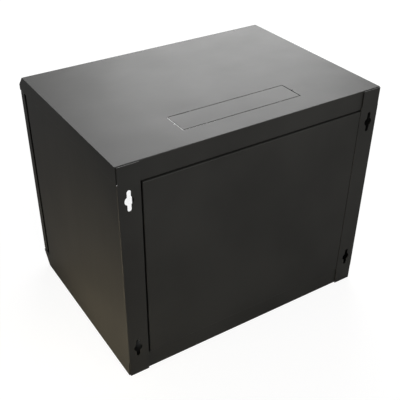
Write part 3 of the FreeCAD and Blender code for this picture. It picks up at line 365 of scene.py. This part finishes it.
def skin(loops, closed=False):
    """Points and faces of a surface through loops of equal count.

    Point j of loop i joins point j + 1 and loop i + 1. A closed surface runs from its last loop back to
    its first, as a nut's does; an open one gets a middle point over each end.
    """
    count, size = loops.shape[:2]
    i, j = np.meshgrid(np.arange(count if closed else count - 1), np.arange(size), indexing="ij")
    i_next, j_next = (i + 1) % count, (j + 1) % size
    row, row_next = i * size, i_next * size
    quads = np.stack([row + j, row + j_next, row_next + j_next, row_next + j], axis=-1)
    points, faces = loops.reshape(-1, 3), quads.reshape(-1, 4).tolist()
    if not closed:
        start, end = len(points), len(points) + 1
        k, last = np.arange(size), (count - 1) * size
        k_next = (k + 1) % size
        faces += np.stack([np.full(size, start), k_next, k], axis=-1).tolist()
        faces += np.stack([np.full(size, end), last + k, last + k_next], axis=-1).tolist()
        points = np.vstack([points, loops[0].mean(axis=0), loops[-1].mean(axis=0)])
    return points, faces


def gather(copies):
    """One set of points and faces from several."""
    points, faces, start = [], [], 0
    for some, joined in copies:
        points.append(some)
        faces += [[start + k for k in face] for face in joined]
        start += len(some)
    return np.vstack(points), faces


def placed(shape, seat, axis, sign):
    """A shape about Z, turned (never mirrored) to point along +-axis and moved to its seat."""
    points, faces = shape
    along = np.zeros(3)
    along[axis] = sign
    first = np.zeros(3)
    first[(axis + 1) % 3] = 1.0
    second = np.cross(along, first)
    return points @ np.array([first, second, along]) + seat, faces


# The CAD's boxes and solids.

def box_of(node):
    """The lowest and the highest corner of a CAD node's box."""
    return tuple(np.array(corner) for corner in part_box(node))


def span(points):
    """The lowest and the highest corner of the box round some points."""
    return points.min(axis=0), points.max(axis=0)


def solids_of(node):
    """The separate solids of a CAD node, each as an array of its corner points.

    Equal corners are one point. Each point takes the lowest number in its triangle until nothing changes.
    """
    mesh = nodes[node].data
    points = np.empty(len(mesh.vertices) * 3)
    mesh.vertices.foreach_get("co", points)
    points = points.reshape(-1, 3)
    mesh.calc_loop_triangles()
    triangles = np.empty(len(mesh.loop_triangles) * 3, int)
    mesh.loop_triangles.foreach_get("vertices", triangles)
    _, same = np.unique(np.round(points, 6), axis=0, return_inverse=True)
    same = same.reshape(-1)
    corners = same[triangles.reshape(-1, 3)]
    label = np.arange(corners.max() + 1)
    while True:
        lowest = label[corners].min(axis=1)
        smaller = label.copy()
        np.minimum.at(smaller, corners.ravel(), np.repeat(lowest, 3))
        smaller = smaller[smaller]
        if np.array_equal(smaller, label):
            break
        label = smaller
    group = label[same]
    return [points[group == value] for value in np.unique(group)]


def on_solids(node, name, axis, sign, shape_of):
    """A shape in place of each solid of the node.

    It points along the axis from the solid's low end, or back from the high end where the sign is -1.
    shape_of makes it from the size of the solid's box.
    """
    copies = []
    for solid in solids_of(node):
        low, high = span(solid)
        seat = (low + high) / 2.0
        seat[axis] = low[axis] if sign > 0 else high[axis]
        copies.append(placed(shape_of(high - low), seat, axis, sign))
    dress(node, surface(name, *gather(copies)))


# Threads, bolts and nuts.

M4_PITCH = 0.7 * MM
M6_PITCH = 1.0 * MM
M6_FLATS = 10.0 * MM
M6_TALL = 5.0 * MM
M6_FLANGE = (6.2 * MM, 1.0 * MM)
FLANGE_FROM = 6.0 * MM
UPRIGHT = ("cover_bolts", "cover_nuts", "earth_nut")


def thread(low, high, major, depth, pitch, count=POINTS_ROUND):
    """Radius and height of a screw thread's rings from low to high, three to a turn.

    r(u, z) = major - depth * |2 frac(z / pitch - u / 2 pi) - 1|, the depth eased to 0 at both ends.
    """
    z = np.linspace(low, high, max(4, int(round((high - low) / pitch * 3))))
    wave = np.abs(2.0 * ((z[:, None] / pitch - around(count)[None, :] / (2.0 * np.pi)) % 1.0) - 1.0)
    ease = np.clip(np.minimum(z - low, high - z) / (0.7 * pitch), 0.0, 1.0)
    return list(major - depth * wave * ease[:, None]), list(z)


def hexagon(flats):
    """Distance to a hexagon's side at each angle: (flats / 2) / cos(angle to the side's middle)."""
    return 0.5 * flats / np.cos((around() % (np.pi / 3.0)) - np.pi / 6.0)


def nut_outside(flats, height, flange=None):
    """Outer rings of a nut or bolt head, from its seat up: a flange or a lower chamfer, then the hexagon.

    A chamfer is 0.55 times as tall as the hexagon reaches out past the radius 0.485 flats. That cuts the
    corners round, as on a turned part.
    """
    side = hexagon(flats)
    chamfer = 0.55 * (side - 0.485 * flats)
    crown = height - chamfer
    if flange is None:
        radius = [0.475 * flats, side * 0.985, side, side, 0.47 * flats]
        tall = [0.0, chamfer * 0.35 / 0.55, chamfer + 0.1 * MM, crown, height]
    else:
        rim, thick = flange
        radius = [0.95 * rim, rim, rim, 0.95 * rim, side * 1.02, side, side, 0.47 * flats]
        tall = [0.0, 0.2 * thick, 0.55 * thick, 0.85 * thick, thick, 1.3 * thick, crown, height]
    return radius, tall


def flanged_bolt():
    """M6 flanged bolt about Z, its seat at 0: a dished head above and a threaded shank below."""
    shank, neck, neck_tall = 11.0 * MM, 2.9 * MM, 0.6 * MM
    major, depth = 2.96 * MM, 0.36 * MM
    turns = thread(0.4 * MM - shank, -1.0 * MM, major, depth, M6_PITCH)
    head = nut_outside(M6_FLATS, M6_TALL, M6_FLANGE)
    tip_radius, tip_height = [2.2 * MM, 2.6 * MM], [-shank, 0.05 * MM - shank]
    dish_radius, dish_height = [3.7 * MM, 3.3 * MM, 1.5 * MM], [M6_TALL, 4.75 * MM, 4.7 * MM]
    radius = tip_radius + turns[0] + [neck, neck] + head[0] + dish_radius
    height = tip_height + turns[1] + [-neck_tall, 0.0] + head[1] + dish_height
    return skin(rings(radius, height))


def threaded_nut(flats, tall, flange, mouth, lead, major, depth, pitch):
    """A nut about Z, its seat at 0. Its bore is threaded and opens to the mouth's radius at both ends."""
    outside = nut_outside(flats, tall, flange)
    bore = thread(lead, tall - lead, major, depth, pitch)
    radius = outside[0] + [mouth] + bore[0][::-1] + [mouth]
    height = outside[1] + [tall] + bore[1][::-1] + [0.0]
    return skin(rings(radius, height), closed=True)


def flanged_nut():
    mouth, lead, major, depth = 3.5 * MM, 0.3 * MM, 3.3 * MM, 0.25 * MM
    return threaded_nut(M6_FLATS, M6_TALL, M6_FLANGE, mouth, lead, major, depth, M6_PITCH)


def clip_nut():
    """Small plain nut of a glass clip, with both faces chamfered."""
    mouth, lead, major, depth = 2.4 * MM, 0.25 * MM, 2.2 * MM, 0.12 * MM
    return threaded_nut(7.0 * MM, 3.2 * MM, None, mouth, lead, major, depth, M4_PITCH)


def weld_stud(radius, length, pitch):
    """Threaded stud about Z from 0 up, with a plain root and a chamfered tip."""
    root, run_in, tip = 1.0 * MM, 1.2 * MM, 0.5 * MM
    turns = thread(run_in, length - tip, radius * 0.985, radius * 0.1, pitch)
    turned = [radius, radius * 0.98] + turns[0] + [radius * 0.8]
    height = [0.0, root] + turns[1] + [length]
    return skin(rings(turned, height))


def flanged_fasteners(names, kind, shape):
    """The bolt or nut in place of each solid of the nodes, with its seat on the flange's face.

    The flange is what lies further from the solid's axis than FLANGE_FROM. A bolt points to the half that
    its flange is in, where the head is, and a nut to the other half, away from its seat.
    """
    for node in names:
        axis = 2 if node in UPRIGHT else 0
        copies = []
        for solid in solids_of(node):
            low, high = span(solid)
            seat = (low + high) / 2.0
            across = np.delete(solid - seat, axis, axis=1)
            flange = solid[np.linalg.norm(across, axis=1) > FLANGE_FROM, axis]
            is_high = flange.min() + flange.max() > low[axis] + high[axis]
            sign = 1.0 if is_high == (kind == "bolt") else -1.0
            seat[axis] = flange.min() if sign > 0 else flange.max()
            copies.append(placed(shape, seat, axis, sign))
        dress(node, surface(node.replace(f"_{kind}", f"_threaded_{kind}"), *gather(copies)))


def bolts():
    names = [name for name in nodes if name.endswith("_bolts")]
    flanged_fasteners(names, "bolt", flanged_bolt())


def nuts():
    names = [name for name in nodes if name.endswith("_nuts") and name != "glass_clip_nuts"]
    flanged_fasteners(names + ["earth_nut"], "nut", flanged_nut())


def clip_fixings():
    """Studs and nuts that hold the glass clips, along +Y from the back of the door's face sheet."""
    on_solids("glass_clip_nuts", "glass_clip_threaded_nuts", 1, 1.0, lambda _: clip_nut())
    on_solids("glass_clip_studs", "threaded_glass_clip_studs", 1, 1.0,
              lambda size: weld_stud(2.0 * MM, size[1], M4_PITCH))


def earth_stud():
    """The stud that the earth wire is bolted to, upright on the case."""
    on_solids("earth_stud", "threaded_earth_stud", 2, 1.0,
              lambda size: weld_stud(3.0 * MM, size[2], M6_PITCH))


# Door pieces.

def lock_front():
    """Lock body about its axis: a threaded barrel and a face with a rounded rim and a turned groove."""
    low, high = box_of("lock_body")
    seat = (low + high) / 2.0
    seat[1] = low[1]
    length, face, bore, rim, root = high[1] - low[1], 1.8 * MM, 6.06 * MM, 11.5 * MM, 9.0 * MM
    major, depth, pitch = 8.98 * MM, 0.42 * MM, 1.0 * MM
    barrel = thread(face + pitch, length - 0.4 * MM, major, depth, pitch, 48)
    groove_radius, groove_height = [7.6 * MM, 8.0 * MM, 8.4 * MM], [0.0, 0.22 * MM, 0.05 * MM]
    round_radius = [9.6 * MM, 10.6 * MM, 11.2 * MM, rim, rim]
    round_height = [0.1 * MM, 0.3 * MM, 0.62 * MM, 1.1 * MM, face]
    radius = [bore, 6.5 * MM] + groove_radius + round_radius
    height = [0.3 * MM, 0.0] + groove_height + round_height
    radius += [root, root] + barrel[0] + [8.5 * MM, bore, bore]
    height += [face, face + 0.4 * MM] + barrel[1] + [length, length, 1.0 * MM]
    shape = skin(rings(radius, height, 48), closed=True)
    dress("lock_body", surface("lock_face_and_barrel", *placed(shape, seat, 1, 1.0)))


def key():
    """Flat key: a surface from the hole in its bow to its outline, eased at both edges.

    The bow's outline is r = bow (1 - 0.035 cos^2 3a), and plain next to the blade. The blade is straight
    below and cut above by waves, 0.5 cut (1 - cos b) deep. The hole has a point for each point of the
    outline, in the same direction from its middle. Both are carried through the thickness, s from -1 to 1,
    and towards the faces they draw back into the metal by ease (1 - sqrt(1 - 0.98 s^2)).
    """
    low, high = box_of("lock_key")
    bow, ring, ease = 10.5 * MM, 3.0 * MM, 0.3 * MM
    half, cut, wave, first_cut = 3.2 * MM, 1.1 * MM, 3.2 * MM, 8.0 * MM
    nose, taper = 1.4 * MM, 1.6 * MM
    x, depth = (low[0] + high[0]) / 2.0, (high[0] - low[0]) / 2.0
    centre = np.array([low[1] + bow, (low[2] + high[2]) / 2.0])
    blade, tip = centre[0] + bow, high[1]
    join = math.asin(half / bow)
    turn = np.linspace(join, 2.0 * np.pi - join, 61)
    lobed = np.abs(turn - np.pi) < 2.2
    reach = bow * (1.0 - 0.035 * np.cos(3.0 * turn) ** 2 * lobed)
    head = centre + reach[:, None] * np.column_stack([np.cos(turn), np.sin(turn)])
    along = np.linspace(blade, tip, 24)
    past = along - blade - first_cut
    bite = np.where(past > 0.0, cut * (0.5 - 0.5 * np.cos(past / wave * 2.0 * np.pi)), 0.0)
    lower = np.column_stack([along, np.full(len(along), centre[1] - half)])
    upper = np.column_stack([along, centre[1] + half - bite])
    lower[-1, 0] = upper[-1, 0] = tip - taper
    end = np.array([[tip, centre[1] - nose], [tip, centre[1] + nose]])
    outline = np.vstack([head, lower, end, upper[::-1]])
    hole = centre - [ring, 0.0]
    outward = outline - hole
    outward /= np.linalg.norm(outward, axis=1)[:, None]
    loops = []
    for edge, sign in ((outline, -1.0), (hole + ring * outward, 1.0)):
        for s in np.linspace(sign, -sign, 5):
            eased = edge + sign * ease * (1.0 - math.sqrt(1.0 - 0.98 * s * s)) * outward
            loops.append(np.column_stack([np.full(len(edge), x + s * depth), eased]))
    dress("lock_key", surface("cut_key", *skin(np.array(loops), closed=True)))


def bumper(size):
    """Rubber button: a flared foot, a plain side and a dome, r = R cos a and h = top - R (1 - sin a)."""
    wide, tall = size[0] / 2.0, size[1]
    side, rise = 0.93 * wide, np.linspace(0.0, 0.46 * np.pi, 8)
    radius = [wide, wide, side] + list(side * np.cos(rise))
    height = [0.0, 1.2 * MM, 2.4 * MM] + list(tall - side * (1.0 - np.sin(rise)))
    return skin(rings(radius, height, 32))


def bumpers():
    on_solids("door_bumpers", "domed_bumpers", 1, -1.0, bumper)


def bevelled_glass():
    """The pane: a rounded rectangle whose polished arris runs round both faces.

    A loop is a rectangle whose corners are quarter circles of radius corner - inset about four fixed
    points. From one face to the other the inset falls from the arris to 0 and rises again.
    """
    low, high = box_of("door_glass")
    centre, half, corner, arris = (low + high) / 2.0, (high - low) / 2.0, 4.0 * MM, 0.9 * MM
    fall = arris * np.array([1.0, 0.25, 0.0])
    quarter = np.repeat(np.arange(4), 9)
    u = (quarter + np.tile(np.linspace(0.0, 1.0, 9), 4)) * np.pi / 2.0
    diagonal = (quarter + 0.5) * np.pi / 2.0
    corner_x = centre[0] + np.sign(np.cos(diagonal)) * (half[0] - corner)
    corner_z = centre[2] + np.sign(np.sin(diagonal)) * (half[2] - corner)
    loops = []
    for inset, y in zip([*fall, *fall[::-1]], [*(high[1] - fall[::-1]), *(low[1] + fall)]):
        radius = corner - inset
        loops.append(np.column_stack([corner_x + radius * np.cos(u), np.full(len(u), y),
                                      corner_z + radius * np.sin(u)]))
    dress("door_glass", surface("bevelled_glass", *skin(np.array(loops)), crease=5.0))


def hinge_spring():
    """Compression spring: a circle carried along a helix that has a closed turn at each end.

    The helix is (R cos a, R sin a, h(a)), with h linear in each of three stretches: closed, open, closed.
    The circle has the wire's radius and lies across the helix, between the direction away from the axis and
    the one square to that and to the wire.
    """
    low, high = box_of("top_hinge_spring")
    wire, turns, closed, travel = 0.45 * MM, 7.0, 0.95 * MM, 8.0 * MM
    coil, tall = (high[0] - low[0]) / 2.0 - wire, high[2] - low[2] - 2.0 * wire
    turn = np.linspace(0.0, turns, 197)
    angle = 2.0 * np.pi * turn
    height = np.interp(turn, [0.0, 1.0, turns - 1.0, turns], [0.0, closed, tall - closed, tall])
    away = np.column_stack([np.cos(angle), np.sin(angle), np.zeros(len(turn))])
    foot = [(low[0] + high[0]) / 2.0, (low[1] + high[1]) / 2.0, low[2] + wire]
    line = foot + coil * away + np.column_stack([np.zeros((len(turn), 2)), height])
    along = np.gradient(line, axis=0)
    along /= np.linalg.norm(along, axis=1)[:, None]
    square = np.cross(along, away)
    square /= np.linalg.norm(square, axis=1)[:, None]
    v = around(10)
    circle = np.cos(v)[:, None] * away[:, None] + np.sin(v)[:, None] * square[:, None]
    loops = line[:, None] + wire * circle
    spring = surface("closed_end_spring", *skin(loops))
    dress("top_hinge_spring", spring)
    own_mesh(spring)


# Case pieces.

def keyhole_shade_sheets():
    """End tabs that close the rear columns at the lower seam: folded plates with a short upturned edge.
    They are dark sheets put there for the shade seen through the lower keyholes, so they stand in for
    shade.

    The profile runs forward from the column's face: flat, then a quarter circle of the bend's radius, then
    up. It is carried across the column, and its other side lies one sheet above.
    """
    panel_low, panel_high = box_of("right_side_panel")
    lip, seam, sheet, bend, edge = 5.5 * MM, 0.2 * MM, 1.2 * MM, 1.6 * MM, 5.0 * MM
    face_setback, column_depth, lap = 4.3 * MM, 33.0 * MM, 14.0 * MM
    clear_inside, clear_outside = 1.5 * MM, 1.6 * MM
    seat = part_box("bottom_cover")[1][2] - lip + sheet + seam
    inner, outer = panel_low[0] + clear_inside, panel_high[0] - clear_outside
    rear = panel_high[1] - face_setback
    front = rear - column_depth - lap
    turn = np.linspace(-0.5 * np.pi, -np.pi, 7)
    direction = np.column_stack([np.cos(turn), np.sin(turn)])
    middle = np.array([front + bend, bend])
    under, upper = middle + bend * direction, middle + (bend - sheet) * direction[::-1]
    profile = np.vstack([[rear, 0.0], under, [front, bend + edge],
                         [front + sheet, bend + edge], upper, [rear, sheet]])
    for side, sign in (("left", -1.0), ("right", 1.0)):
        across = (inner, outer) if sign < 0 else (outer, inner)
        loops = np.array([np.column_stack([np.full(len(profile), sign * x), profile[:, 0],
                                           seat + profile[:, 1]]) for x in across])
        # Each sheet is a dark stand-in for the shade seen through the lower keyholes.
        foot = surface(f"{side}_keyhole_shade_sheet", *skin(loops))
        paint(foot, "black_powder_coat")
        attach(foot, body_of["bottom_cover"])


# Studio.

FLOOR_REACH = 6.0
FLOOR_LEVEL = 1.09
FLOOR_WHITE = 0.8
FLOOR_GLOSS = 0.735

AIR = 0.42
AIR_NEAR = 0.15
AIR_FAR = 1.0
AIR_TOWARD = (-0.45, -0.85, 0.28)

MIDDLE = (0.0, 0.0, 0.25)
LAMPS = (
    ("far_softbox", (-1.3, -1.78, 1.63), MIDDLE, (1.5, 2.0), 38.0, 180.0, (1.0, 1.0, 1.0)),
    ("wall_fill", (0.1, 2.35, 1.1), MIDDLE, (1.6, 1.2), 24.0, 180.0, (1.0, 0.99, 0.97)),
    ("side_fill", (0.9, 0.24, 0.03), (0.3, 0.14, 0.02), (0.3, 0.25), 2.1, 75.0, (1.0, 0.84, 0.58)),
)

EYE = (0.7069, 1.1091, 1.0837)
AZIMUTH, ELEVATION, ROLL = 147.91, 35.16, 0.06
FOCAL = 1.7145
SHIFT = (0.0218, 0.041)
SENSOR = 36.0


def floor():
    """A pale floor that keeps a soft trace of the object's shadow.

    Seen directly or through glass it is nearly white, and wholly white further out. A reflection shows it
    white only well away from the object. For the light that it throws on the object it is grey.
    """
    grey, pale = (0.22, 0.22, 0.215), (0.95, 0.95, 0.95)
    corners = FLOOR_REACH * np.array([[-1, -1, 0], [1, -1, 0], [1, 1, 0], [-1, 1, 0]], float)
    ground = surface("floor", corners, [[0, 1, 2, 3]])
    paper = Finish("pale_floor", Roughness=0.9, Specular_IOR_Level=0.1)
    seen = paper.ray("Camera") + paper.ray("Transmission")
    paper.feed("Base Color", paper.blend(seen, grey, pale))
    white = paper.node("ShaderNodeEmission", None, {"Color": WHITE, "Strength": FLOOR_LEVEL})
    away = paper.node("ShaderNodeVectorMath", {"operation": "LENGTH"}, {0: paper.place}, "Value")
    whiter = FLOOR_WHITE + away.step(0.9, 2.4) * (1.0 - FLOOR_WHITE)
    share = seen * whiter + paper.ray("Glossy") * away.step(1.7, 3.2) * FLOOR_GLOSS
    paper.mix_out(share, Term(paper, paper.shader.outputs[0]), white)
    ground.data.materials.append(paper.material)


def studio_air():
    """White to the eye and soft grey as light. Reflections of it brighten towards the front left."""
    world = bpy.data.worlds.new("studio")
    bpy.context.scene.world = world
    air = Shading(world)
    toward = air.along(air.node("ShaderNodeTexCoord", output="Generated"), AIR_TOWARD)
    mirrored = AIR_NEAR + toward.step(-0.2, 0.95) * (AIR_FAR - AIR_NEAR)
    level = air.node("ShaderNodeMix", None, {0: air.ray("Glossy"), 2: AIR, 3: mirrored})
    soft = air.node("ShaderNodeBackground", None, {"Color": WHITE, "Strength": level})
    white = air.node("ShaderNodeBackground", None, {"Color": WHITE})
    air.mix_out(air.ray("Camera") + air.ray("Transmission"), soft, white)


def softbox(name, place, aim, size, watts, spread, colour):
    """A rectangular lamp turned towards its aim; its grid narrows the spread, in degrees."""
    data = bpy.data.lights.new(name, "AREA")
    data.shape = "RECTANGLE"
    data.size, data.size_y = size
    data.energy = watts
    data.color = colour
    data.spread = math.radians(spread)
    lamp = bpy.data.objects.new(name, data)
    bpy.context.scene.collection.objects.link(lamp)
    lamp.location = place
    lamp.visible_camera = False
    lamp.rotation_mode = "QUATERNION"
    lamp.rotation_quaternion = (Vector(aim) - Vector(place)).to_track_quat("-Z", "Y")


def camera():
    """Looks down on the back and the right side. FOCAL and SHIFT are shares of the image's width."""
    azimuth, elevation, roll = map(math.radians, (AZIMUTH, ELEVATION, ROLL))
    back = Vector((math.sin(azimuth) * math.cos(elevation), -math.cos(azimuth) * math.cos(elevation),
                   math.sin(elevation)))
    side = Vector((0.0, 0.0, 1.0)).cross(back).normalized()
    top = back.cross(side)
    right = side * math.cos(roll) + top * math.sin(roll)
    up = top * math.cos(roll) - side * math.sin(roll)
    data = bpy.data.cameras.new("camera")
    data.sensor_width = SENSOR
    data.lens = SENSOR * FOCAL
    data.shift_x, data.shift_y = SHIFT
    data.clip_start, data.clip_end = 0.05, 60.0
    eye = bpy.data.objects.new("camera", data)
    bpy.context.scene.collection.objects.link(eye)
    eye.matrix_world = Matrix.Translation(EYE) @ Matrix((right, up, back)).transposed().to_4x4()
    bpy.context.scene.camera = eye


# The cabinet and its studio.

for name, node in nodes.items():
    paint(node, slot_of[name])
bolts()
nuts()
clip_fixings()
earth_stud()
lock_front()
key()
bumpers()
bevelled_glass()
hinge_spring()
keyhole_shade_sheets()

camera()
floor()
studio_air()
for lamp in LAMPS:
    softbox(*lamp)
bpy.context.scene.view_settings.view_transform = "Standard"
